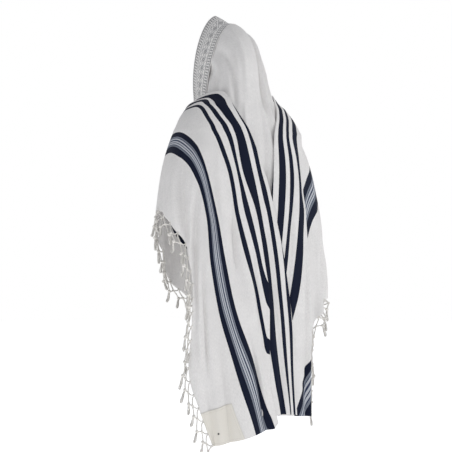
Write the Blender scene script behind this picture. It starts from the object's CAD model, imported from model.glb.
import math
import bpy
import numpy as np
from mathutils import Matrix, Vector


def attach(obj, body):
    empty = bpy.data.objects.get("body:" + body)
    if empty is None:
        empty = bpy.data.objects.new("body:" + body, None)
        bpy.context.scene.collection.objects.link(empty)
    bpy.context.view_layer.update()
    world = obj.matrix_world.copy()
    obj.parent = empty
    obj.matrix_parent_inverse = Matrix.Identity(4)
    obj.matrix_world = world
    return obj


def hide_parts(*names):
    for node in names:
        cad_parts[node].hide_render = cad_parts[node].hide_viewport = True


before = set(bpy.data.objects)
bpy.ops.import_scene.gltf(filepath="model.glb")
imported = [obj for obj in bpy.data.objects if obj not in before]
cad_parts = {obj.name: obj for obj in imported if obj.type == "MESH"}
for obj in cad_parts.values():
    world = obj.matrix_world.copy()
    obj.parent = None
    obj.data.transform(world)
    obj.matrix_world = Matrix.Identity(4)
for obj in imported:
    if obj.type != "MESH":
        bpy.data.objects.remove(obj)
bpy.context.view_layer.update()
mm = 0.001
crownForward = 62  # the crown of the head is this far in front of the spine line

# A worn wool prayer shawl. Sizes are in millimetres, and turn to metres where a mesh is made.


def newPiece(name, data):
    piece = bpy.data.objects.new(name, data)
    bpy.context.collection.objects.link(piece)
    return piece


def makeCamera():
    view = {"aim": (0.037, 0.041, -0.668), "distance": 3.6, "azimuth": 150, "width": 1.49}
    turn = math.radians(view["azimuth"])
    away = Vector((math.sin(turn), -math.cos(turn), 0))
    aim = Vector(view["aim"])
    data = bpy.data.cameras.new("camera")
    data.sensor_width = 36
    data.lens = 36 * view["distance"] / view["width"]
    camera = newPiece("camera", data)
    camera.location = aim + away * view["distance"]
    camera.rotation_euler = (-away).to_track_quat("-Z", "Y").to_euler()
    bpy.context.scene.camera = camera


makeCamera()
print("camera made")

cloth = {
    "wall": 1.5,        # thickness of the wool
    "length": 1520,     # of the cloth along its bands, from the bottom hem to the front edge
    "layerRise": 3.6,   # from one lying layer up to the next
    "turnUnder": 24,    # cloth turned under along a folded edge
    "fullness": 2.3,    # 2 is an ellipse, more is squarer
    "creaseDepth": 1.5, # how much deeper the hand-placed creases are than their tables say
    "hoodPeak": 0.12,   # how sharply the front of the hood rises to a point
    "sideDrop": 2.4,    # hood sides below the ears, for each degree past a quarter turn
}

# Level rings of the form: height, half width, depth behind and in front of the middle, and the middle
rings = np.array([
    (-180, 102, 130, 92, -52),
    (-240, 112, 137, 92, -40),
    (-270, 130, 130, 92, -25),
    (-290, 154, 125, 92, -15),
    (-330, 184, 128, 98, -5),
    (-370, 209, 134, 104, 0),
    (-450, 252, 142, 114, 0),
    (-535, 280, 148, 122, 0),
    (-620, 296, 152, 128, 0),
    (-780, 308, 158, 134, 0),
    (-950, 300, 164, 138, 0),
    (-1150, 285, 170, 140, 0),
    (-1420, 272, 176, 142, 0),
], float)

def namedRows(columns, rows):
    return [dict(zip(columns.split(), row)) for row in rows]


# Long folds that every layer follows: degrees from the spine at the top and the foot, widths in
# degrees, depth in mm (down is a trough), and the heights that they run between
formFolds = namedRows("name top foot wide deep start end", [
    ("spineTrough", 3, 3, 7, -7, -420, -1300),
    ("leftLongFold", 13, 13, 6, 8, -560, -1380),
    ("leftSoftFold", 31, 31, 7, -9, -620, -1380),
    ("leftArmRoll", 49, 49, 7, 10, -420, -1300),
    ("rightLongFold", -24, -24, 6, 6, -480, -1300),
    ("rightArmRoll", -52, -52, 8, 10, -420, -1000),
    ("rightArmSide", -76, -76, 12, 9, -420, -1000),
    ("leftChestFold", 140, 140, 9, 12, -380, -1000),
    ("rightChestFold", -142, -142, 9, 12, -380, -1000),
])

# Creases of the outer cloth, placed one by one
leftCreases = namedRows("name top foot wide deep start end", [
    ("ribbonLongFold", 15.5, -1.5, 1.6, 6, -880, -1300),
    ("ribbonLongValley", 17.5, 0.8, 1.7, -6, -860, -1300),
    ("bandBeside", 11, 4, 1.5, -4, -640, -1010),
    ("whiteShort", 20.5, 18, 1.6, -5, -580, -790),
    ("whiteValley", 25, 13, 2.4, -6, -520, -900),
    ("whiteUpper", 35, 26, 2.6, 4, -420, -640),
    ("flapShade", 47, 45, 2.6, -11, -520, -880),
    ("flapEdge", 40, 40.5, 1.9, -8, -760, -1060),
    ("flapLip", 43, 43.5, 1.8, 6, -760, -1060),
    ("elbowDrag", 70, 54, 4.5, -9, -430, -690),
    ("elbowRidge", 80, 62, 4, 6, -450, -690),
    ("sleeveFront", 96, 86, 5, -7, -420, -640),
    ("lowWhiteRidge", 38, 31, 3, 6, -960, -1360),
    ("lowWhiteValley", 30, 23, 2.6, -6, -1020, -1370),
    ("lowWhiteSoft", 46, 37, 2.2, -5, -1080, -1340),
    ("panelSoft", 0, -8, 1.6, -3.5, -640, -1240),
    ("panelLow", -6, -12, 1.4, 3, -860, -1270),
    ("chestValley", 128, 132, 5, -10, -420, -900),
    ("chestRidge", 150, 150, 4.5, 8, -420, -960),
    ("chestInner", 160, 158, 3, -6, -460, -800),
])
rightCreases = namedRows("name top foot wide deep start end", [
    ("sideValley", -27, -31, 2, -6, -600, -1280),
    ("sideRidge", -31, -34.5, 1.8, 5, -700, -1280),
    ("sideShort", -23, -27, 1.6, -4, -900, -1200),
    ("lowPanel", -12, -15, 1.8, 4, -1000, -1280),
    ("bandValley", -22, -13, 2, -4, -400, -900),
    ("shoulderShort", -36, -31, 2.4, -4, -380, -560),
    ("armDrag", -84, -60, 6, -10, -400, -900),
    ("armRidge", -66, -47, 4.5, 7, -560, -960),
    ("armLow", -52, -42, 3.5, -6, -700, -1040),
    ("gatherBack", -45, -48, 2.6, 7, -700, -1120),
    ("gatherElbow", -58, -62, 3.2, -9, -660, -1080),
    ("gatherArm", -69, -74, 3.4, 8, -600, -1040),
    ("gatherArmValley", -79, -83, 3.6, -9, -620, -1020),
    ("gatherSide", -89, -92, 3.4, 8, -560, -1000),
    ("gatherSideValley", -99, -101, 3.6, -9, -580, -1000),
    ("gatherFront", -110, -111, 3.6, 8, -540, -1000),
    ("gatherFrontValley", -120, -119, 3, -8, -600, -1020),
    ("gatherChest", -134, -132, 3, 7, -660, -1040),
    ("chestValley", -130, -124, 5, -10, -420, -900),
    ("chestRidge", -150, -142, 4.5, 8, -420, -960),
    ("chestInner", -160, -152, 3, -6, -460, -760),
])
# Hood creases run over the sections of the hood: place is a section, round is degrees from the middle
hoodCreases = namedRows("name fromPlace toPlace fromRound toRound wide deep", [
    ("backRidge", 5.4, 11.2, -14, -26, 2.2, 8),
    ("backLine", 5.0, 11.0, -9, -18, 1.7, -8),
    ("napeEdge", 6.0, 10.8, -31, -40, 4, 6),
    ("napeValley", 6.2, 10.6, -42, -52, 3.2, -7),
    ("skullLeft", 6.4, 11.0, 24, 50, 4.5, -6),
    ("skullSoft", 7.0, 11.4, 8, 22, 4, 3.5),
    ("ear", 7.4, 11.9, 74, 66, 5, -7),
    ("earRidge", 7.4, 11.6, 60, 58, 4, 4),
    ("jaw", 8.5, 12.5, 100, 88, 7, 5),
    ("rightEar", 7.6, 12.2, -72, -64, 5, -7),
    ("rightJaw", 8.5, 12.6, -100, -86, 7, 5),
    ("vLeft", 3.6, 7.0, 4, 14, 2.2, 4),
    ("vMiddle", 3.2, 7.4, 0, -5, 2, -4.5),
    ("vRight", 4.0, 6.8, -6, -12, 2, 3.5),
])

# Lines that the cloth follows. A column is a place on the way from the bottom hem up the back, over
# the shoulder and down to the front edge. cloth is the distance from the fringed edge in centimetres.
leftWingLines = [
    dict(name="fringe", layer=0, cloth=[0] * 13,
         round=[38, 47, 54, 49.5, 47.5, 51, 64, 80, 95, 110, 129, 147, 165],
         height=[-1354, -1235, -1118, -992, -862, -745, -676, -636, -618, -650, -752, -848, -930]),
    dict(name="whiteMiddle", layer=1, cloth=[7.5] * 13,
         round=[22.5, 30, 37, 38, 40, 44, 54, 69, 92, 114, 132, 149, 165],
         height=[-1341, -1215, -1090, -955, -825, -700, -606, -550, -518, -548, -654, -764, -862]),
    dict(name="ribbonOut", layer=3, cloth=[15] * 13,
         round=[8, 15, 22, 29.5, 34, 37, 46, 61, 90, 116, 134, 150, 165],
         height=[-1324, -1195, -1065, -925, -790, -655, -540, -474, -440, -465, -568, -686, -796]),
    dict(name="ribbonIn", layer=5.6, cloth=[22.5] * 13,
         round=[-2.5, 4.5, 12, 19, 24, 30, 40, 54, 87, 118, 135, 150, 165],
         height=[-1306, -1180, -1045, -905, -770, -635, -505, -425, -378, -400, -494, -614, -735]),
    dict(name="bandD", layer=6, cloth=[23.6, 26.2, 32.2] + [33] * 10,
         round=[-3.8, 1.2, 1.8, 5.5, 11, 16.8, 23, 40, 75, 118, 138, 151, 165],
         height=[-1300, -1172, -1040, -902, -772, -637, -507, -387, -300, -330, -420, -540, -678]),
    dict(name="bandC", layer=6.3, cloth=[23.9, 27, 33.5, 36, 36.7, 36.1, 36.1, 36.6] + [37] * 5,
         round=[-4.3, 0.2, 0.5, 1.8, 5.4, 12.8, 18.6, 31, 72, 118, 139, 152, 165.5],
         height=[-1296, -1168, -1036, -900, -771, -636, -506, -383, -286, -318, -407, -522, -655]),
    dict(name="pleatEdge", layer=6.6, cloth=[24.3, 27.8, 33.8, 37, 39.4, 40, 40, 39.6] + [39.2] * 5,
         round=[-4.8, -0.8, -0.4, -0.5, 1.5, 5.6, 14.4, 24, 69, 118, 140, 153, 166],
         height=[-1292, -1164, -1032, -898, -770, -635, -505, -380, -275, -308, -395, -505, -636]),
]
leftPanelLines = [
    dict(name="underPleat", layer=4.1, cloth=[37, 37.2, 38.2, 39] + [39.2] * 9,
         round=[-2.4, 1.8, 3, 3, 5.2, 9.4, 18, 28, 71, 118, 140, 153, 166],
         height=[-1270, -1150, -1022, -895, -770, -637, -507, -383, -280, -312, -399, -509, -640]),
    dict(name="bandB", layer=4.4, cloth=[41.7] * 13,
         round=[-8.5, -5, -2.4, -1.2, 0.9, 4, 9.8, 19, 63, 117, 142, 155, 167],
         height=[-1266, -1146, -1020, -893, -768, -636, -504, -380, -262, -294, -376, -482, -608]),
    dict(name="foldEdge", layer=4.6, cloth=[52.6, 52.4, 52, 51.3, 50, 49, 48.2, 46.6, 44.8] + [44.6] * 4,
         round=[-19, -17.4, -16.1, -12.8, -9.3, -5.1, 0, 9.5, 55, 116, 144, 158, 169],
         height=[-1273, -1148, -1020, -893, -765, -635, -503, -378, -242, -272, -350, -450, -575]),
]
rightPanelLines = [
    dict(name="foldEdge", layer=2.6, cloth=[49, 48.6, 48, 47.3, 46.6, 46, 45.4, 45, 44.2] + [44] * 4,
         round=[3, 3, 3, 1.5, -1.5, -3.2, -6, -11, -55, -116, -144, -158, -169],
         height=[-1266, -1140, -1010, -885, -760, -632, -504, -378, -242, -272, -350, -450, -580]),
    dict(name="bandC", layer=2.6, cloth=[37] * 13,
         round=[-2, -3, -5, -8.5, -12.6, -17, -21.3, -25.5, -68, -117, -142, -155, -166],
         height=[-1268, -1142, -1012, -885, -758, -632, -505, -380, -274, -308, -398, -508, -640]),
    dict(name="bandD", layer=2.4, cloth=[33] * 13,
         round=[-6, -7.5, -11.5, -17.7, -21.7, -25.5, -29, -33.5, -76, -118, -140, -152, -162],
         height=[-1270, -1145, -1015, -888, -762, -637, -512, -388, -300, -336, -438, -553, -700]),
    dict(name="lowRibbon", layer=2.3, cloth=[22.5, 22.5, 25.5, 29.6, 31.2, 31.8, 31.8, 31.6] + [31.5] * 5,
         round=[-18, -28, -35.3, -31.5, -28.5, -29.5, -32, -41, -80, -118, -138.5, -150.5, -160.5],
         height=[-1277, -1155, -1025, -890, -762, -637, -512, -393, -322, -361, -463, -582, -730]),
    dict(name="armFold", layer=2.2, cloth=[14.8, 17.8, 24, 28.3, 30.4, 31, 31, 30.6] + [30] * 5,
         round=[-36.5, -37.6, -37.5, -34.6, -31.2, -31, -33.6, -47, -84, -118, -137, -149, -159],
         height=[-1288, -1162, -1035, -893, -763, -637, -512, -400, -346, -382, -486, -610, -760]),
]
rightWingLines = [
    dict(name="underArmFold", layer=-0.8, cloth=[29] * 13,
         round=[-13, -13, -14, -15, -17, -20, -27, -43, -80, -118, -138, -150, -160],
         height=[-1250, -1145, -1020, -885, -748, -612, -476, -390, -332, -364, -466, -588, -738]),
    dict(name="ribbonIn", layer=-0.8, cloth=[22.5] * 13,
         round=[-18, -18, -19, -20, -22, -25, -33, -52, -87, -118, -135, -147, -157],
         height=[-1252, -1155, -1040, -910, -785, -666, -560, -485, -445, -480, -572, -684, -830]),
    dict(name="ribbonOut", layer=-0.6, cloth=[15] * 13,
         round=[-24, -25, -25, -26, -28, -32, -43, -64, -92, -117, -132, -143, -153],
         height=[-1255, -1168, -1065, -952, -842, -737, -650, -590, -552, -585, -662, -754, -880]),
    dict(name="whiteMiddle", layer=-0.3, cloth=[7.5] * 13,
         round=[-30, -31, -32, -33, -36, -43, -56, -75, -94, -113, -127, -138, -148],
         height=[-1258, -1182, -1095, -1002, -916, -840, -780, -740, -714, -732, -784, -850, -935]),
    dict(name="fringe", layer=0, cloth=[0] * 13,
         round=[-36, -38, -39, -40, -44, -55, -70, -86, -97, -110, -123, -134, -143],
         height=[-1262, -1200, -1125, -1045, -975, -935, -915, -900, -888, -892, -910, -940, -985]),
]

# Sections of the middle back and hood, from the bottom hem up and over to the front edge: each half
# an ellipse in a plane tilted up from level, with how far round it goes to the left and right
# Columns: middle, height, tilt, half, reach, left, right
hoodSections = np.array([
    (0, -1275, 0, 279, 173, 10, -6),  # hem
    (0, -1080, 0, 288, 168, 11, -7),  # knee
    (0, -880, 0, 302, 161, 13, -9),  # hip
    (0, -700, 0, 302, 155, 18, -12),  # waist
    (0, -560, 0, 287, 149, 24, -16),  # rib
    (0, -440, 0, 258, 141, 32, -25),  # blade
    (-6, -340, 3, 196, 128, 52, -56),  # yoke
    (-26, -295, 10, 136, 132, 84, -84),  # nape
    (-40, -276, 26, 107, 148, 100, -100),  # skull
    (-50, -266, 46, 92, 190, 118, -118),  # backOfHead
    (-58, -262, 67, 86, 238, 126, -126),  # crownBack
    (-62, -262, 84, 87, 264, 130, -130),  # crown
    (-70, -258, 92, 88, 268, 130, -130),  # bandMiddle
    (-108, -234, 92, 89, 264, 136, -136),  # brow
    (-150, -200, 92, 88, 248, 140, -140),  # frontEdge
], float)


def smoothAlong(values, t):  # a curve with no overshoot through values at whole-number places
    values = np.asarray(values, float)
    t = np.asarray(t, float)
    steps = np.diff(values, axis=0)
    before, after = steps[:-1], steps[1:]
    total = np.where(before + after == 0, 1, before + after)
    inner = np.where(before * after <= 0, 0, 2 * before * after / total)
    slopes = np.concatenate([steps[:1], inner, steps[-1:]])
    i = np.clip(np.floor(t).astype(int), 0, len(values) - 2)
    f = (t - i).reshape((-1,) + (1,) * (values.ndim - 1))
    a, b, m, n = values[i], values[i + 1], slopes[i], slopes[i + 1]
    return ((2 * f**3 - 3 * f**2 + 1) * a + (f**3 - 2 * f**2 + f) * m
            + (3 * f**2 - 2 * f**3) * b + (f**3 - f**2) * n)


def rounded(value, power):
    return np.sign(value) * np.abs(value) ** power


def foldRise(folds, round_, height):
    rise = np.zeros(np.broadcast(round_, height).shape)
    for fold in folds:
        along = (fold["start"] - height) / (fold["start"] - fold["end"])
        centre = fold["top"] + (fold["foot"] - fold["top"]) * along
        fade = np.sin(np.clip(along * 1.3, 0, 1) * np.pi / 2)
        tail = np.clip((1.3 - along) / 0.3, 0, 1)
        rise = rise + fold["deep"] * fade * tail * np.exp(-((round_ - centre) / fold["wide"]) ** 2)
    return rise


def onForm(round_, height, creases=()):
    heights = rings[:, 0]
    t = np.interp(-height, -heights, np.arange(len(heights)))
    ring = smoothAlong(rings, t.ravel()).reshape(t.shape + (5,))
    s, c = np.sin(np.radians(round_)), np.cos(np.radians(round_))
    depth = np.where(c > 0, ring[..., 2], ring[..., 3])
    power = 2 / cloth["fullness"]
    rise = foldRise(formFolds, round_, height) + cloth["creaseDepth"] * foldRise(creases, round_, height)
    x = (ring[..., 1] + rise) * rounded(s, power)
    y = ring[..., 4] + (depth + rise) * rounded(c, power)
    return np.stack([x, y + crownForward, height + 0 * x], axis=-1)


def unit(vectors):
    return vectors / np.maximum(np.linalg.norm(vectors, axis=-1, keepdims=True), 1e-9)


def formNormal(round_, height):
    step = 1.5
    across = onForm(round_ + step, height) - onForm(round_ - step, height)
    down = onForm(round_, height - step * 3) - onForm(round_, height + step * 3)
    return unit(np.cross(across, down))


def softWave(u, v, size):  # slow, uneven waviness of hanging wool
    wave = np.sin(u / 61 + 1.3 * np.sin(v / 173) + 0.4) * np.sin(v / 241 + 0.8)
    wave = wave + 0.6 * np.sin(u / 34 - v / 310 + 2.1) * np.sin(v / 137 + u / 420)
    return size * wave


# A folded edge rolls over and under: how far in and how far down, in drops of one layer, and the
# millimetres of cloth used; the last is the whole width turned under
edgeRoll = [(-0.32, 0.18, 1), (-0.42, 0.5, 2), (-0.3, 0.82, 3), (0.3, 1, 5), (2, 1, 11), (4, 1, 17)]
edgeUsed = 26


def clothGrid(lines, across, along, creases, turned):
    place = np.linspace(0, 12, along + 1)
    lineAt = np.linspace(0, len(lines) - 1, across + 1)
    table = {}
    for key in ("round", "height", "cloth"):
        onLines = np.stack([smoothAlong(line[key], place) for line in lines])
        table[key] = smoothAlong(onLines, lineAt).T
    layer = smoothAlong([line["layer"] for line in lines], lineAt)
    normal = formNormal(table["round"], table["height"])
    length = cloth["length"] * place[:, None] / 12
    wave = softWave(table["cloth"] * 10, length + 0 * table["cloth"], 2.4)
    points = onForm(table["round"], table["height"], creases)
    points = points + normal * (layer * cloth["layerRise"] + wave)[..., None]
    measure = table["cloth"] * 10
    if turned:
        edge, edgeNormal = points[:, -1], normal[:, -1]
        inward = unit(points[:, -4] - edge)
        drop = cloth["layerRise"] * 0.8
        extra = []
        for reach, sink, used in edgeRoll:
            extra.append(edge + inward * drop * reach - edgeNormal * drop * sink)
        extra.append(edge + inward * cloth["turnUnder"] - edgeNormal * drop)
        more = np.array([used for reach, sink, used in edgeRoll] + [edgeUsed])
        extraMeasure = measure[:, -1:] + np.sign(measure[:, -1:] - measure[:, -4:-3]) * more
        points = np.concatenate([points, np.stack(extra, axis=1)], axis=1)
        measure = np.concatenate([measure, extraMeasure], axis=1)
    steps = np.linalg.norm(np.diff(points, axis=0), axis=-1)
    run = np.concatenate([np.zeros((1, points.shape[1])), np.cumsum(steps, axis=0)])
    return points, np.stack([measure, run], axis=-1)


def hoodPoints(section, round_, layer, creases=True, place=None):
    turn = np.clip(round_, -90, 90)
    drop = (np.abs(round_) - np.abs(turn)) * cloth["sideDrop"]
    s, c = np.sin(np.radians(turn)), np.cos(np.radians(turn))
    middle, height, tilt, half, reach = (section[..., k] for k in range(5))
    lean = np.radians(tilt)
    power = 2 / (2 + 0.3 * np.cos(lean) ** 2)
    rise = np.where(tilt < 3, foldRise(formFolds, round_, height), 0) + layer * cloth["layerRise"]
    if creases:
        for fold in hoodCreases:
            along = (place - fold["fromPlace"]) / (fold["toPlace"] - fold["fromPlace"])
            centre = fold["fromRound"] + (fold["toRound"] - fold["fromRound"]) * along
            fade = np.sin(np.clip(along, 0, 1) * np.pi) ** 0.7
            bump = np.exp(-((round_ - centre) / fold["wide"]) ** 2)
            rise = rise + cloth["creaseDepth"] * fold["deep"] * fade * bump
    front = np.clip((-middle - 60) / 90, 0, 1)
    out = (reach + rise) * np.abs(c) ** power * (1 - cloth["hoodPeak"] * front * np.abs(s))
    side = (half + rise) * rounded(s, power)
    x = side + np.sign(side) * drop * 0.12
    y = middle + out * np.cos(lean) + drop * front * 0.35
    z = height + out * np.sin(lean) - drop
    return np.stack([x, y + crownForward, z], axis=-1)


def hoodGrid(across, along, start, end, layer, trim=0, creases=True):
    place = np.linspace(start, end, along + 1)
    section = smoothAlong(hoodSections, place)
    t = np.linspace(0, 1, across + 1)[None, :]
    round_ = (section[:, 5:6] - trim) * (1 - t) + (section[:, 6:7] + trim) * t
    wide = np.broadcast_to(section[:, None, :], (along + 1, across + 1, 7))
    points = hoodPoints(wide, round_, layer, creases, place[:, None])
    if creases:
        wave = softWave(round_ * 2.4, place[:, None] * 104 + 0 * round_, 1.6)
        points = points + gridNormals(points) * wave[..., None]
    acrossSteps = np.linalg.norm(np.diff(points, axis=1), axis=-1)
    upSteps = np.linalg.norm(np.diff(points, axis=0), axis=-1)
    acrossRun = np.concatenate([np.zeros((along + 1, 1)), np.cumsum(acrossSteps, axis=1)], axis=1)
    upRun = np.concatenate([np.zeros((1, across + 1)), np.cumsum(upSteps, axis=0)])
    return points, np.stack([acrossRun, upRun], axis=-1)


def gridNormals(points):
    across = np.gradient(points, axis=1)
    up = np.gradient(points, axis=0)
    return unit(np.cross(up, across))


def meshFromGrid(name, points, uv, flip=False):
    rows, columns = points.shape[:2]
    at = np.arange(rows * columns).reshape(rows, columns)
    quads = np.stack([at[:-1, :-1], at[1:, :-1], at[1:, 1:], at[:-1, 1:]], axis=-1).reshape(-1, 4)
    if flip:
        quads = quads[:, ::-1]
    mesh = bpy.data.meshes.new(name)
    mesh.from_pydata((points.reshape(-1, 3) * mm).tolist(), [], quads.tolist())
    layer = mesh.uv_layers.new(name="cloth")
    perVertex = uv.reshape(-1, 2) * mm
    loops = np.empty(len(mesh.loops), dtype=np.int32)
    mesh.loops.foreach_get("vertex_index", loops)
    layer.data.foreach_set("uv", perVertex[loops].astype(np.float32).ravel())
    mesh.polygons.foreach_set("use_smooth", [True] * len(mesh.polygons))
    mesh.update()
    return newPiece(name, mesh)


def addWall(piece, thickness, offset=0.0):
    wall = piece.modifiers.new("wall", "SOLIDIFY")
    wall.thickness = thickness * mm
    wall.offset = offset
    wall.use_even_offset = False


def toLinear(code):
    parts = [int(code[k:k + 2], 16) / 255 for k in (1, 3, 5)]
    return tuple(p / 12.92 if p <= 0.04045 else ((p + 0.055) / 1.055) ** 2.4 for p in parts) + (1.0,)


def addNode(tree, kind, settings=(), links=(), **inputs):
    node = tree.nodes.new(kind)
    for key, value in dict(settings).items():
        setattr(node, key, value)
    for key, value in inputs.items():  # in1 is the second input, and Base_Color is Base Color
        place = int(key[2:]) if key[:2] == "in" and key[2:].isdigit() else key.replace("_", " ")
        node.inputs[place].default_value = value
    for key, source in dict(links).items():
        tree.links.new(source, node.inputs[key])
    return node


def fillRamp(node, rows):  # each row is a place from 0 to 1 and the colour from there on
    node.color_ramp.interpolation = "CONSTANT"
    stops = node.color_ramp.elements
    for k, (start, colour) in enumerate(rows):
        stop = stops[k] if k < 2 else stops.new(start)
        stop.position = start
        stop.color = colour


def newMaterial(name):
    material = bpy.data.materials.new(name)
    material.use_nodes = True
    tree = material.node_tree
    tree.nodes.clear()
    output = tree.nodes.new("ShaderNodeOutputMaterial")
    return material, tree, output


woolLook = {
    "ivory": "#ebe9e7", "navy": "#0d152b", "slate": "#7d838e", "paleLine": "#c3c7cd", "darkLine": "#39415a",
    "threadMm": 2.2,  # real threads are about 0.8 mm apart; drawn coarser so that they show
}

# Bands woven along the cloth: from and to in centimetres in from the fringed edge
bands = [
    (0, 15, "ivory"),
    (15, 17.1, "navy"), (17.1, 17.5, "slate"), (17.5, 17.75, "darkLine"), (17.75, 18.2, "paleLine"),
    (18.2, 18.5, "darkLine"), (18.5, 18.95, "paleLine"), (18.95, 19.25, "darkLine"),
    (19.25, 19.7, "paleLine"), (19.7, 19.95, "darkLine"), (19.95, 20.4, "slate"), (20.4, 22.5, "navy"),
    (22.5, 32, "ivory"), (32, 33.9, "navy"),
    (33.9, 36.1, "ivory"), (36.1, 38, "navy"),
    (38, 40.2, "ivory"), (40.2, 43.2, "navy"),
    (43.2, 45.4, "ivory"), (45.4, 47.3, "navy"),
    (47.3, 49.5, "ivory"), (49.5, 51.4, "navy"),
    (51.4, 60, "ivory"),
]


def makeWool():
    # Ivory worsted wool, plain weave: matt with a soft nap, faint thread ribs and slightly uneven dye
    material, tree, output = newMaterial("woolPlainWeave")
    uv = addNode(tree, "ShaderNodeUVMap", {"uv_map": "cloth"})
    split = addNode(tree, "ShaderNodeSeparateXYZ", links={"Vector": uv.outputs[0]})
    span = bands[-1][1] / 100
    scaled = addNode(tree, "ShaderNodeMath", {"operation": "DIVIDE"}, {0: split.outputs["X"]}, in1=span)
    ramp = addNode(tree, "ShaderNodeValToRGB", links={"Fac": scaled.outputs[0]})
    fillRamp(ramp, [(start / bands[-1][1], toLinear(woolLook[colour])) for start, _, colour in bands])
    thread = woolLook["threadMm"] * mm
    grain = addNode(tree, "ShaderNodeTexNoise", {"noise_dimensions": "3D"},
                    Scale=14.0, Detail=4.0, Roughness=0.6)
    place = addNode(tree, "ShaderNodeTexCoord")
    tree.links.new(place.outputs["Object"], grain.inputs["Vector"])
    fleck = addNode(tree, "ShaderNodeTexNoise", {"noise_dimensions": "3D"}, Scale=900.0, Detail=2.0)
    stretch = addNode(tree, "ShaderNodeMapping", links={"Vector": uv.outputs[0]}, Scale=(1.0, 0.12, 1.0))
    tree.links.new(stretch.outputs[0], fleck.inputs["Vector"])
    shade = addNode(tree, "ShaderNodeMapRange", links={"Value": grain.outputs["Fac"]},
                    in1=0.3, in2=0.7, in3=0.93, in4=1.0)
    shade2 = addNode(tree, "ShaderNodeMapRange", links={"Value": fleck.outputs["Fac"]},
                     in1=0.3, in2=0.7, in3=0.9, in4=1.06)
    both = addNode(tree, "ShaderNodeMath", {"operation": "MULTIPLY"},
                   {0: shade.outputs[0], 1: shade2.outputs[0]})
    tint = addNode(tree, "ShaderNodeVectorMath", {"operation": "SCALE"},
                   {0: ramp.outputs["Color"], "Scale": both.outputs[0]})
    warp = addNode(tree, "ShaderNodeMath", {"operation": "MULTIPLY"}, {0: split.outputs["X"]},
                   in1=2 * math.pi / thread)
    weft = addNode(tree, "ShaderNodeMath", {"operation": "MULTIPLY"}, {0: split.outputs["Y"]},
                   in1=2 * math.pi / thread)
    warpWave = addNode(tree, "ShaderNodeMath", {"operation": "SINE"}, {0: warp.outputs[0]})
    weftWave = addNode(tree, "ShaderNodeMath", {"operation": "SINE"}, {0: weft.outputs[0]})
    weave = addNode(tree, "ShaderNodeMath", {"operation": "MULTIPLY"},
                    {0: warpWave.outputs[0], 1: weftWave.outputs[0]})
    fuzz = addNode(tree, "ShaderNodeMath", {"operation": "ADD"},
                   {0: weave.outputs[0], 1: fleck.outputs["Fac"]})
    bump = addNode(tree, "ShaderNodeBump", links={"Height": fuzz.outputs[0]}, Strength=0.25, Distance=0.0006)
    shader = addNode(tree, "ShaderNodeBsdfPrincipled",
                     links={"Base Color": tint.outputs[0], "Normal": bump.outputs[0]},
                     Roughness=0.92, Sheen_Weight=0.06, Sheen_Roughness=0.5, Specular_IOR_Level=0.2)
    tree.links.new(shader.outputs[0], output.inputs["Surface"])
    return material


def makePlain(name, colour, rough, sheen=0.2, grainScale=700.0):
    # Undyed wool yarn or twill: matt, with a fibrous grain
    material, tree, output = newMaterial(name)
    place = addNode(tree, "ShaderNodeTexCoord")
    grain = addNode(tree, "ShaderNodeTexNoise", links={"Vector": place.outputs["Object"]},
                    Scale=grainScale, Detail=3.0)
    base = toLinear(colour)
    ramp = addNode(tree, "ShaderNodeMix", {"data_type": "RGBA"}, {"Factor": grain.outputs["Fac"]})
    ramp.inputs[6].default_value = tuple(c * 0.82 for c in base[:3]) + (1,)
    ramp.inputs[7].default_value = base
    bump = addNode(tree, "ShaderNodeBump", links={"Height": grain.outputs["Fac"]},
                   Strength=0.3, Distance=0.0008)
    shader = addNode(tree, "ShaderNodeBsdfPrincipled",
                     links={"Base Color": ramp.outputs[2], "Normal": bump.outputs[0]},
                     Roughness=rough, Sheen_Weight=sheen, Specular_IOR_Level=0.3)
    tree.links.new(shader.outputs[0], output.inputs["Surface"])
    return material


wool = makeWool()
yarn = makePlain("woolYarnTwisted", "#ece9e3", 0.95)
twill = makePlain("cottonTwillPatch", "#ece8df", 0.8)
thread = makePlain("cottonThread", "#d8d3c8", 0.7)
shadow = makePlain("eyeletShadow", "#2b2a2c", 1.0, sheen=0.0)
print("materials made")


def finishSheet(piece, nodeName, material):
    piece.data.materials.append(material)
    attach(piece, "root")
    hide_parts(nodeName)


rightPanelFromSide = rightPanelLines[::-1]
rightWingFromFringe = rightWingLines[::-1]
stretches = [
    dict(node="left_wing", lines=leftWingLines, across=110, creases=leftCreases, turned=True,
         flip=False),
    dict(node="left_panel", lines=leftPanelLines, across=44, creases=leftCreases, turned=True,
         flip=False),
    dict(node="right_panel", lines=rightPanelFromSide, across=64, creases=rightCreases, turned=True,
         flip=True),
    dict(node="right_wing", lines=rightWingFromFringe, across=70, creases=rightCreases, turned=False,
         flip=True),
]


def makeStretch(row):
    points, uv = clothGrid(row["lines"], row["across"], 330, row["creases"], row["turned"])
    piece = meshFromGrid("wool_" + row["node"], points, uv, row["flip"])
    addWall(piece, cloth["wall"])
    return piece, points, uv


def alongLine(line, lengths):  # points at these lengths along a line of points
    run = np.concatenate([[0], np.cumsum(np.linalg.norm(np.diff(line, axis=0), axis=-1))])
    return np.stack([np.interp(lengths, run, line[:, k]) for k in range(3)], axis=-1)


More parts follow.
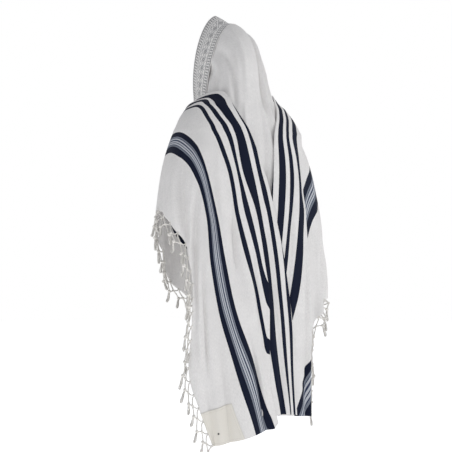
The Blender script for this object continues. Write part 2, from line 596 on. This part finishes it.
def squareFrom(points, top, side, lift):
    # a square cut of cloth laid on the corner of a grid: as wide as its side along every row, and
    # as many rows as its flat area takes, measured cell by cell; then moved out clear of the grid
    rows = points[::-1] if top else points
    cells = 46
    widths = np.linspace(0, side, cells + 1)
    laid = np.stack([alongLine(row, widths) for row in rows[:120]])
    acrossEdges = laid[:-1, 1:] - laid[:-1, :-1]
    upEdges = laid[1:, :-1] - laid[:-1, :-1]
    areas = np.linalg.norm(np.cross(acrossEdges, upEdges), axis=-1).sum(axis=1)
    covered = np.concatenate([[0], np.cumsum(areas)])
    rowAt = np.interp(np.linspace(0, side * side, cells + 1), covered, np.arange(len(covered)))
    low = np.minimum(np.floor(rowAt).astype(int), len(laid) - 2)
    part = (rowAt - low)[:, None, None]
    grid = laid[low] * (1 - part) + laid[low + 1] * part
    form = gridNormals(grid)
    centre = np.array([0, crownForward, 0])
    away = np.sum(form * (grid - centre) * (1, 1, 0), axis=-1)
    form = form * np.sign(away.mean())
    square = np.stack(np.meshgrid(widths, widths), axis=-1)
    return grid + form * lift, square, form


def newTree(name, inputs):
    tree = bpy.data.node_groups.new(name, "GeometryNodeTree")
    tree.interface.new_socket("Geometry", in_out="INPUT", socket_type="NodeSocketGeometry")
    for label, kind, value in inputs:
        tree.interface.new_socket(label, in_out="INPUT", socket_type=kind).default_value = value
    tree.interface.new_socket("Geometry", in_out="OUTPUT", socket_type="NodeSocketGeometry")
    return tree, tree.nodes.new("NodeGroupInput"), tree.nodes.new("NodeGroupOutput")


def finishTree(tree, result, geometry, material):
    real = addNode(tree, "GeometryNodeRealizeInstances", links={"Geometry": geometry})
    paint = addNode(tree, "GeometryNodeSetMaterial", links={"Geometry": real.outputs[0]}, Material=material)
    tree.links.new(paint.outputs[0], result.inputs[0])
    return tree


def bakeTree(name, guide, tree, values):
    modifier = guide.modifiers.new("build", "NODES")
    modifier.node_group = tree
    for item in tree.interface.items_tree:
        if item.item_type == "SOCKET" and item.in_out == "INPUT" and item.name in values:
            modifier[item.identifier] = values[item.name]
    graph = bpy.context.evaluated_depsgraph_get()
    mesh = bpy.data.meshes.new_from_object(guide.evaluated_get(graph))
    mesh.name = name
    piece = newPiece(name, mesh)
    bpy.data.objects.remove(guide)
    return piece


def yarnTree(material):
    # strands follow the guide's edges as three-ply twisted yarn; knots sit on the marked points
    tree, given, result = newTree("twistedYarn", [
        ("Pitch", "NodeSocketFloat", 0.009),
        ("Step", "NodeSocketFloat", 0.003),
        ("Seed", "NodeSocketInt", 4),
    ])
    curve = addNode(tree, "GeometryNodeMeshToCurve", links={"Mesh": given.outputs["Geometry"]})
    fine = addNode(tree, "GeometryNodeResampleCurve", {"mode": "LENGTH"},
                   {"Curve": curve.outputs[0], "Length": given.outputs["Step"]})
    along = addNode(tree, "GeometryNodeSplineParameter")
    turns = addNode(tree, "ShaderNodeMath", {"operation": "DIVIDE"},
                    {0: along.outputs["Length"], 1: given.outputs["Pitch"]})
    angle = addNode(tree, "ShaderNodeMath", {"operation": "MULTIPLY"}, {0: turns.outputs[0]}, in1=2 * math.pi)
    tilt = addNode(tree, "GeometryNodeSetCurveTilt",
                   links={"Curve": fine.outputs[0], "Tilt": angle.outputs[0]})
    thick = addNode(tree, "GeometryNodeInputNamedAttribute", {"data_type": "FLOAT"}, Name="thick")
    radius = addNode(tree, "GeometryNodeSetCurveRadius",
                     links={"Curve": tilt.outputs[0], "Radius": thick.outputs[0]})
    profile = addNode(tree, "GeometryNodeCurveStar", Points=3, Inner_Radius=0.62, Outer_Radius=1.0)
    strands = addNode(tree, "GeometryNodeCurveToMesh",
                      links={"Curve": radius.outputs[0], "Profile Curve": profile.outputs[0]})
    strands.inputs["Fill Caps"].default_value = True
    if "Scale" in strands.inputs:
        tree.links.new(thick.outputs[0], strands.inputs["Scale"])
    marked = addNode(tree, "GeometryNodeInputNamedAttribute", {"data_type": "FLOAT"}, Name="knot")
    isKnot = addNode(tree, "FunctionNodeCompare", {"data_type": "FLOAT", "operation": "GREATER_THAN"},
                     {0: marked.outputs[0]}, in1=0.0)
    spots = addNode(tree, "GeometryNodeMeshToPoints",
                    links={"Mesh": given.outputs["Geometry"], "Selection": isKnot.outputs[0]})
    ball = addNode(tree, "GeometryNodeMeshIcoSphere", Radius=1.0, Subdivisions=2)
    spin = addNode(tree, "FunctionNodeRandomValue", {"data_type": "FLOAT_VECTOR"},
                   {"Seed": given.outputs["Seed"]})
    spin.inputs["Max"].default_value = (6.28, 6.28, 6.28)
    size = addNode(tree, "ShaderNodeVectorMath", {"operation": "SCALE"}, {"Scale": marked.outputs[0]})
    size.inputs[0].default_value = (1.0, 0.85, 1.2)
    knots = addNode(tree, "GeometryNodeInstanceOnPoints",
                    links={"Points": spots.outputs[0], "Instance": ball.outputs[0],
                           "Rotation": spin.outputs["Value"], "Scale": size.outputs[0]})
    both = addNode(tree, "GeometryNodeJoinGeometry")
    tree.links.new(strands.outputs[0], both.inputs[0])
    tree.links.new(knots.outputs[0], both.inputs[0])
    return finishTree(tree, result, both.outputs[0], material)


def stitchTree(material):
    # short raised stitches at an even spacing along the guide's edges
    tree, given, result = newTree("stitchRun", [
        ("Spacing", "NodeSocketFloat", 0.004),
        ("Length", "NodeSocketFloat", 0.0026),
        ("Width", "NodeSocketFloat", 0.0009),
    ])
    curve = addNode(tree, "GeometryNodeMeshToCurve", links={"Mesh": given.outputs["Geometry"]})
    spots = addNode(tree, "GeometryNodeCurveToPoints", {"mode": "LENGTH"},
                    {"Curve": curve.outputs[0], "Length": given.outputs["Spacing"]})
    ball = addNode(tree, "GeometryNodeMeshIcoSphere", Radius=0.5, Subdivisions=1)
    width = given.outputs["Width"]
    shape = addNode(tree, "ShaderNodeCombineXYZ", links={"X": width, "Y": width, "Z": given.outputs["Length"]})
    stitches = addNode(tree, "GeometryNodeInstanceOnPoints",
                       links={"Points": spots.outputs["Points"], "Instance": ball.outputs[0],
                              "Rotation": spots.outputs["Rotation"], "Scale": shape.outputs[0]})
    return finishTree(tree, result, stitches.outputs[0], material)


def guideFromPaths(name, paths, thick=None, knots=None):
    # paths are lists of points in mm; thick is a radius for each path; knots are (point, radius)
    vertices, edges, radii, marks = [], [], [], []
    for k, path in enumerate(paths):
        first = len(vertices)
        vertices.extend(np.asarray(path) * mm)
        edges.extend((first + i, first + i + 1) for i in range(len(path) - 1))
        taper = thick[k] if thick is not None else 0.001
        radii.extend(np.broadcast_to(taper, len(path)))
        marks.extend([0.0] * len(path))
    for point, radius in knots or []:
        vertices.append(np.asarray(point) * mm)
        radii.append(0.0)
        marks.append(radius)
    mesh = bpy.data.meshes.new(name)
    mesh.from_pydata([tuple(v) for v in vertices], edges, [])
    mesh.attributes.new("thick", "FLOAT", "POINT").data.foreach_set("value", np.array(radii, np.float32))
    mesh.attributes.new("knot", "FLOAT", "POINT").data.foreach_set("value", np.array(marks, np.float32))
    return newPiece(name, mesh)


fringe = {
    "spacing": 43,       # between the holes that the yarns are tied through
    "firstKnot": 17,     # fall from the edge to the first row of knots
    "secondKnot": 33,
    "tailEnd": 78,       # fall to the tip of a tassel
    "stand": 26,         # how far the fringe stands out before it hangs
    "strand": 2.7,       # radius of a net strand
    "tail": 4.7,         # radius of a tassel
    "knot": 6.0,         # radius of a knot
    "seed": 11,
}


def makeFringe(name, points):
    rng = np.random.default_rng(fringe["seed"])
    edge = points[:, 0]
    outward = unit(edge - points[:, 6])
    run = np.concatenate([[0], np.cumsum(np.linalg.norm(np.diff(edge, axis=0), axis=-1))])
    count = int(run[-1] // fringe["spacing"])
    down = np.array([0, 0, -1.0])

    def hang(s, fall):
        s = float(np.clip(s, 0, run[-1]))
        e = np.array([np.interp(s, run, edge[:, k]) for k in range(3)])
        o = np.array([np.interp(s, run, outward[:, k]) for k in range(3)])
        o = o / np.linalg.norm(o)
        out = fringe["stand"] * (1 - math.exp(-fall / fringe["stand"]))
        fallen = fall - out * (0.55 + 0.45 * max(0.0, float(o @ down)))
        return e + o * out + down * fallen

    paths, thick, knots = [], [], []
    step = fringe["spacing"]
    for k in range(count + 1):
        s = k * step + 3
        shift = rng.uniform(-9, 9, 3)
        low = hang(s + rng.uniform(-3, 3), fringe["secondKnot"]) + shift * 0.5
        for side in (-0.5, 0.5):
            knotAt = hang(s + side * step, fringe["firstKnot"])
            bow = (hang(s + side * step * 0.4, 8) + hang(s, 6)) / 2
            paths.append([hang(s, -4), bow, knotAt])
            thick.append(fringe["strand"] * mm)
            middle = (knotAt + low) / 2 + rng.uniform(-1.5, 1.5, 3)
            paths.append([knotAt, middle, low])
            thick.append(fringe["strand"] * mm)
        knots.append((hang(s + 0.5 * step, fringe["firstKnot"]), fringe["knot"] * 0.72 * mm))
        knots.append((low, fringe["knot"] * mm))
        reach = fringe["tailEnd"] - fringe["secondKnot"]
        length = reach * rng.uniform(0.7, 1.08)
        start = hang(s, fringe["secondKnot"])
        lean = unit(hang(s, fringe["tailEnd"]) - start + rng.uniform(-16, 16, 3))
        tail, sizes = [], []
        for f in np.linspace(0, 1, 7):
            sway = np.sin(f * np.pi * 0.9) * rng.uniform(-1.2, 1.2, 3)
            tail.append(low + lean * length * f + sway)
            sizes.append(fringe["tail"] * mm * (0.8 + 0.75 * f - 0.7 * max(0.0, f - 0.88) / 0.12))
        paths.append(tail)
        thick.append(np.array(sizes))
    guide = guideFromPaths(name + "_guide", paths, thick, knots)
    piece = bakeTree(name, guide, yarnTree(yarn), {"Pitch": 0.010, "Step": 0.003, "Seed": 4})
    for polygon in piece.data.polygons:
        polygon.use_smooth = True
    return piece


made = {}
for row in stretches:
    made[row["node"]] = makeStretch(row)
hoodPointsGrid, hoodUv = hoodGrid(150, 330, 0, 14, 0)
hoodUv[..., 0] += 560  # the middle of the cloth has no bands
hood = meshFromGrid("wool_hood_and_middle", hoodPointsGrid, hoodUv)
addWall(hood, cloth["wall"])
print("cloth made")

fringeLeft = makeFringe("fringe_yarn_left", made["left_wing"][1])
fringeRight = makeFringe("fringe_yarn_right", made["right_wing"][1])
print("fringe made")

brocadeLook = {
    "silver": "#f1efec", "shade": "#5f5f63",
    "length": 800, "width": 125,  # of the ribbon
    "motif": 29,       # from one woven diamond to the next
    "bead": 9.5,       # from one edge bead to the next
    "rib": 2.2,        # real ribs are about 1 mm apart; drawn coarser so that they show
}

neckbandPoints, neckbandUv = hoodGrid(300, 90, 11, 14, 0.85, trim=3, creases=False)
neckbandUv[..., 1] *= brocadeLook["width"] / neckbandUv[-1:, :, 1]  # one even ribbon, eased round the face
neckband = meshFromGrid("brocade_neckband", neckbandPoints, neckbandUv)
addWall(neckband, 1.4)

patchSide = 115
patchRows = [
    ("patch_back_left", "left_wing", False, False),
    ("patch_front_left", "left_wing", False, True),
    ("patch_back_right", "right_wing", True, False),
    ("patch_front_right", "right_wing", True, True),
]
patches = []
for node, parent, flip, top in patchRows:
    points, uv, normals = squareFrom(made[parent][1], top, patchSide, 1.9)
    patch = meshFromGrid("twill_" + node, points, uv, flip != top)
    addWall(patch, 1.1)
    patches.append((patch, node, parent, points, normals))
print("neckband and patches made")

patchSewing = {
    "inset": 3,         # cells of the patch in from its edge
    "stitch": 4.2,      # from one stitch to the next
    "long": 3.0, "thick": 1.1,
    "eyeletCell": 15,   # cells in from both sides
    "eyelet": 3.2,      # radius of the worked hole
    "eyeletStitch": 1.4,
}


def borderOf(grid, k):  # once round a grid, k cells in
    last = len(grid) - 1 - k
    return np.concatenate([grid[k, k:last], grid[k:last, last], grid[last, last:k:-1], grid[last:k:-1, k],
                           grid[k:k + 1, k]])


def ringAround(centre, normal, radius):
    side = unit(np.cross(normal, (0, 0, 1.0)))
    other = np.cross(normal, side)
    turns = np.linspace(0, 2 * math.pi, 25)
    return np.array([centre + radius * (math.cos(a) * side + math.sin(a) * other) for a in turns])


sewn, worked, discs = [], [], []
for patch, node, parent, points, normals in patches:
    top = points + normals * 0.75
    sewn.append(borderOf(top, patchSewing["inset"]))
    cell = patchSewing["eyeletCell"]
    centre, normal = top[cell, cell], normals[cell, cell]
    worked.append(ringAround(centre, normal, patchSewing["eyelet"]))
    discs.append(ringAround(centre - normal * 0.05, normal, patchSewing["eyelet"])[:-1])
stitches = bakeTree("thread_patch_stitches", guideFromPaths("stitchGuide", sewn), stitchTree(thread), {
    "Spacing": patchSewing["stitch"] * mm, "Length": patchSewing["long"] * mm,
    "Width": patchSewing["thick"] * mm})
eyelets = bakeTree("thread_eyelets", guideFromPaths("eyeletGuide", worked), stitchTree(thread), {
    "Spacing": patchSewing["eyeletStitch"] * mm, "Length": 1.6 * mm, "Width": 1.0 * mm})
holeMesh = bpy.data.meshes.new("eyelet_holes")
holeMesh.from_pydata((np.concatenate(discs) * mm).tolist(), [],
                     [list(range(k * 24, k * 24 + 24)) for k in range(len(discs))])
holes = newPiece("eyelet_holes", holeMesh)
print("patches sewn")


def makeBrocade():
    # Silver jacquard ribbon: a soft metallic gleam, beaded edge lines and small woven diamonds
    material, tree, output = newMaterial("silverJacquardRibbon")
    uv = addNode(tree, "ShaderNodeUVMap", {"uv_map": "cloth"})
    split = addNode(tree, "ShaderNodeSeparateXYZ", links={"Vector": uv.outputs[0]})
    across = addNode(tree, "ShaderNodeMath", {"operation": "DIVIDE"}, {0: split.outputs["Y"]},
                     in1=brocadeLook["width"] * mm)
    zones = addNode(tree, "ShaderNodeValToRGB", links={"Fac": across.outputs[0]})
    # red is a plain dark line, green holds beads, blue holds diamonds; the ribbon is the same both ways
    half = [(0, "plain"), (0.03, "line"), (0.055, "plain"), (0.076, "beads"), (0.228, "plain"),
            (0.255, "line"), (0.275, "plain"), (0.33, "diamonds")]
    marks = {"plain": (0, 0, 0, 1), "line": (1, 0, 0, 1), "beads": (0, 1, 0, 1), "diamonds": (0, 0, 1, 1)}
    ends = [start for start, _ in half[1:]] + [0.5]
    mirrored = [(1 - end, kind) for end, (_, kind) in zip(ends, half)][::-1]
    fillRamp(zones, [(start, marks[kind]) for start, kind in half + mirrored[1:]])
    picked = addNode(tree, "ShaderNodeSeparateColor", links={"Color": zones.outputs["Color"]})
    diamonds = addNode(tree, "ShaderNodeTexVoronoi", {"voronoi_dimensions": "2D", "distance": "MANHATTAN"},
                       {"Vector": uv.outputs[0]}, Scale=1 / (brocadeLook["motif"] * mm), Randomness=0.0)
    beads = addNode(tree, "ShaderNodeTexVoronoi", {"voronoi_dimensions": "2D", "distance": "EUCLIDEAN"},
                    {"Vector": uv.outputs[0]}, Scale=1 / (brocadeLook["bead"] * mm), Randomness=0.0)
    figure = addNode(tree, "ShaderNodeValToRGB", links={"Fac": diamonds.outputs["Distance"]})
    nested = [(0, 0), (0.09, 1), (0.2, 0), (0.29, 1), (0.38, 0), (0.6, 0.8), (0.7, 0)]
    fillRamp(figure, [(start, (level, level, level, 1)) for start, level in nested])
    dot = addNode(tree, "ShaderNodeMath", {"operation": "LESS_THAN"}, {0: beads.outputs["Distance"]},
                  in1=0.34)
    inDiamonds = addNode(tree, "ShaderNodeMath", {"operation": "MULTIPLY"},
                         {0: figure.outputs["Color"], 1: picked.outputs["Blue"]})
    inBeads = addNode(tree, "ShaderNodeMath", {"operation": "MULTIPLY"},
                      {0: dot.outputs[0], 1: picked.outputs["Green"]})
    twoFigures = addNode(tree, "ShaderNodeMath", {"operation": "MAXIMUM"},
                         {0: inDiamonds.outputs[0], 1: inBeads.outputs[0]})
    woven = addNode(tree, "ShaderNodeMath", {"operation": "MAXIMUM"},
                    {0: twoFigures.outputs[0], 1: picked.outputs["Red"]})
    ribPhase = addNode(tree, "ShaderNodeMath", {"operation": "MULTIPLY"}, {0: split.outputs["X"]},
                       in1=2 * math.pi / (brocadeLook["rib"] * mm))
    rib = addNode(tree, "ShaderNodeMath", {"operation": "SINE"}, {0: ribPhase.outputs[0]})
    height = addNode(tree, "ShaderNodeMath", {"operation": "MULTIPLY_ADD"},
                     {0: rib.outputs[0], 2: woven.outputs[0]}, in1=0.25)
    colour = addNode(tree, "ShaderNodeMix", {"data_type": "RGBA"}, {"Factor": woven.outputs[0]})
    colour.inputs[6].default_value = toLinear(brocadeLook["silver"])
    colour.inputs[7].default_value = toLinear(brocadeLook["shade"])
    bump = addNode(tree, "ShaderNodeBump", links={"Height": height.outputs[0]}, Strength=0.5, Distance=0.0008)
    shader = addNode(tree, "ShaderNodeBsdfPrincipled",
                     links={"Base Color": colour.outputs[2], "Normal": bump.outputs[0]},
                     Roughness=0.45, Metallic=0.1, Sheen_Weight=0.2)
    tree.links.new(shader.outputs[0], output.inputs["Surface"])
    return material


brocade = makeBrocade()

for row in stretches:
    piece, points, uv = made[row["node"]]
    finishSheet(piece, row["node"], wool)
finishSheet(hood, "hood_and_middle", wool)
finishSheet(neckband, "neckband", brocade)
for patch, node, parent, points, normals in patches:
    finishSheet(patch, node, twill)
holes.data.materials.append(shadow)
addWall(holes, 0.3)
for piece in (stitches, eyelets, holes):
    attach(piece, "root")
for piece, node in ((fringeLeft, "fringe_left"), (fringeRight, "fringe_right")):
    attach(piece, "root")
    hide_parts(node)
print("pieces declared")


studio = {"fill": 0.38, "floorGlow": 0.78, "key": 50, "side": 20}


def makeStudio():
    floorHeight = -1.75
    mesh = bpy.data.meshes.new("floor")
    corners, across = 48, 9
    turns = np.linspace(0, 2 * math.pi, corners, endpoint=False)
    ring = [(across * math.cos(a), across * math.sin(a), floorHeight) for a in turns]
    mesh.from_pydata(ring, [], [list(range(corners))])
    floor = newPiece("floor", mesh)
    paper, tree, output = newMaterial("palePaper")
    shader = addNode(tree, "ShaderNodeBsdfPrincipled", Roughness=0.9)
    shader.inputs["Base Color"].default_value = toLinear("#fbfbfc")
    shader.inputs["Emission Color"].default_value = (1, 1, 1, 1)
    shader.inputs["Emission Strength"].default_value = studio["floorGlow"]
    tree.links.new(shader.outputs[0], output.inputs["Surface"])
    mesh.materials.append(paper)
    world = bpy.data.worlds.new("studio")
    bpy.context.scene.world = world
    world.use_nodes = True
    tree = world.node_tree
    background = tree.nodes["Background"]
    background.inputs["Color"].default_value = (0.93, 0.95, 1, 1)
    background.inputs["Strength"].default_value = studio["fill"]
    paper = addNode(tree, "ShaderNodeBackground", Color=(1, 1, 1, 1), Strength=1.0)
    seen = addNode(tree, "ShaderNodeLightPath")
    mix = addNode(tree, "ShaderNodeMixShader",
                  links={0: seen.outputs["Is Camera Ray"], 1: background.outputs[0], 2: paper.outputs[0]})
    tree.links.new(mix.outputs[0], tree.nodes["World Output"].inputs["Surface"])
    lamps = [  # name, place, size, power, aim
        ("keyLamp", (-2.3, 2.7, 2.1), 1.1, studio["key"], (0, 0, -0.6)),
        ("sideLamp", (3.0, 1.6, 2.2), 1.2, studio["side"], (0, 0, -0.5)),
    ]
    for name, place, size, power, aim in lamps:
        data = bpy.data.lights.new(name, "AREA")
        data.size = size
        data.energy = power
        lamp = newPiece(name, data)
        lamp.location = place
        lamp.rotation_euler = (Vector(aim) - Vector(place)).to_track_quat("-Z", "Y").to_euler()


makeStudio()
bpy.context.scene.view_settings.view_transform = "Standard"
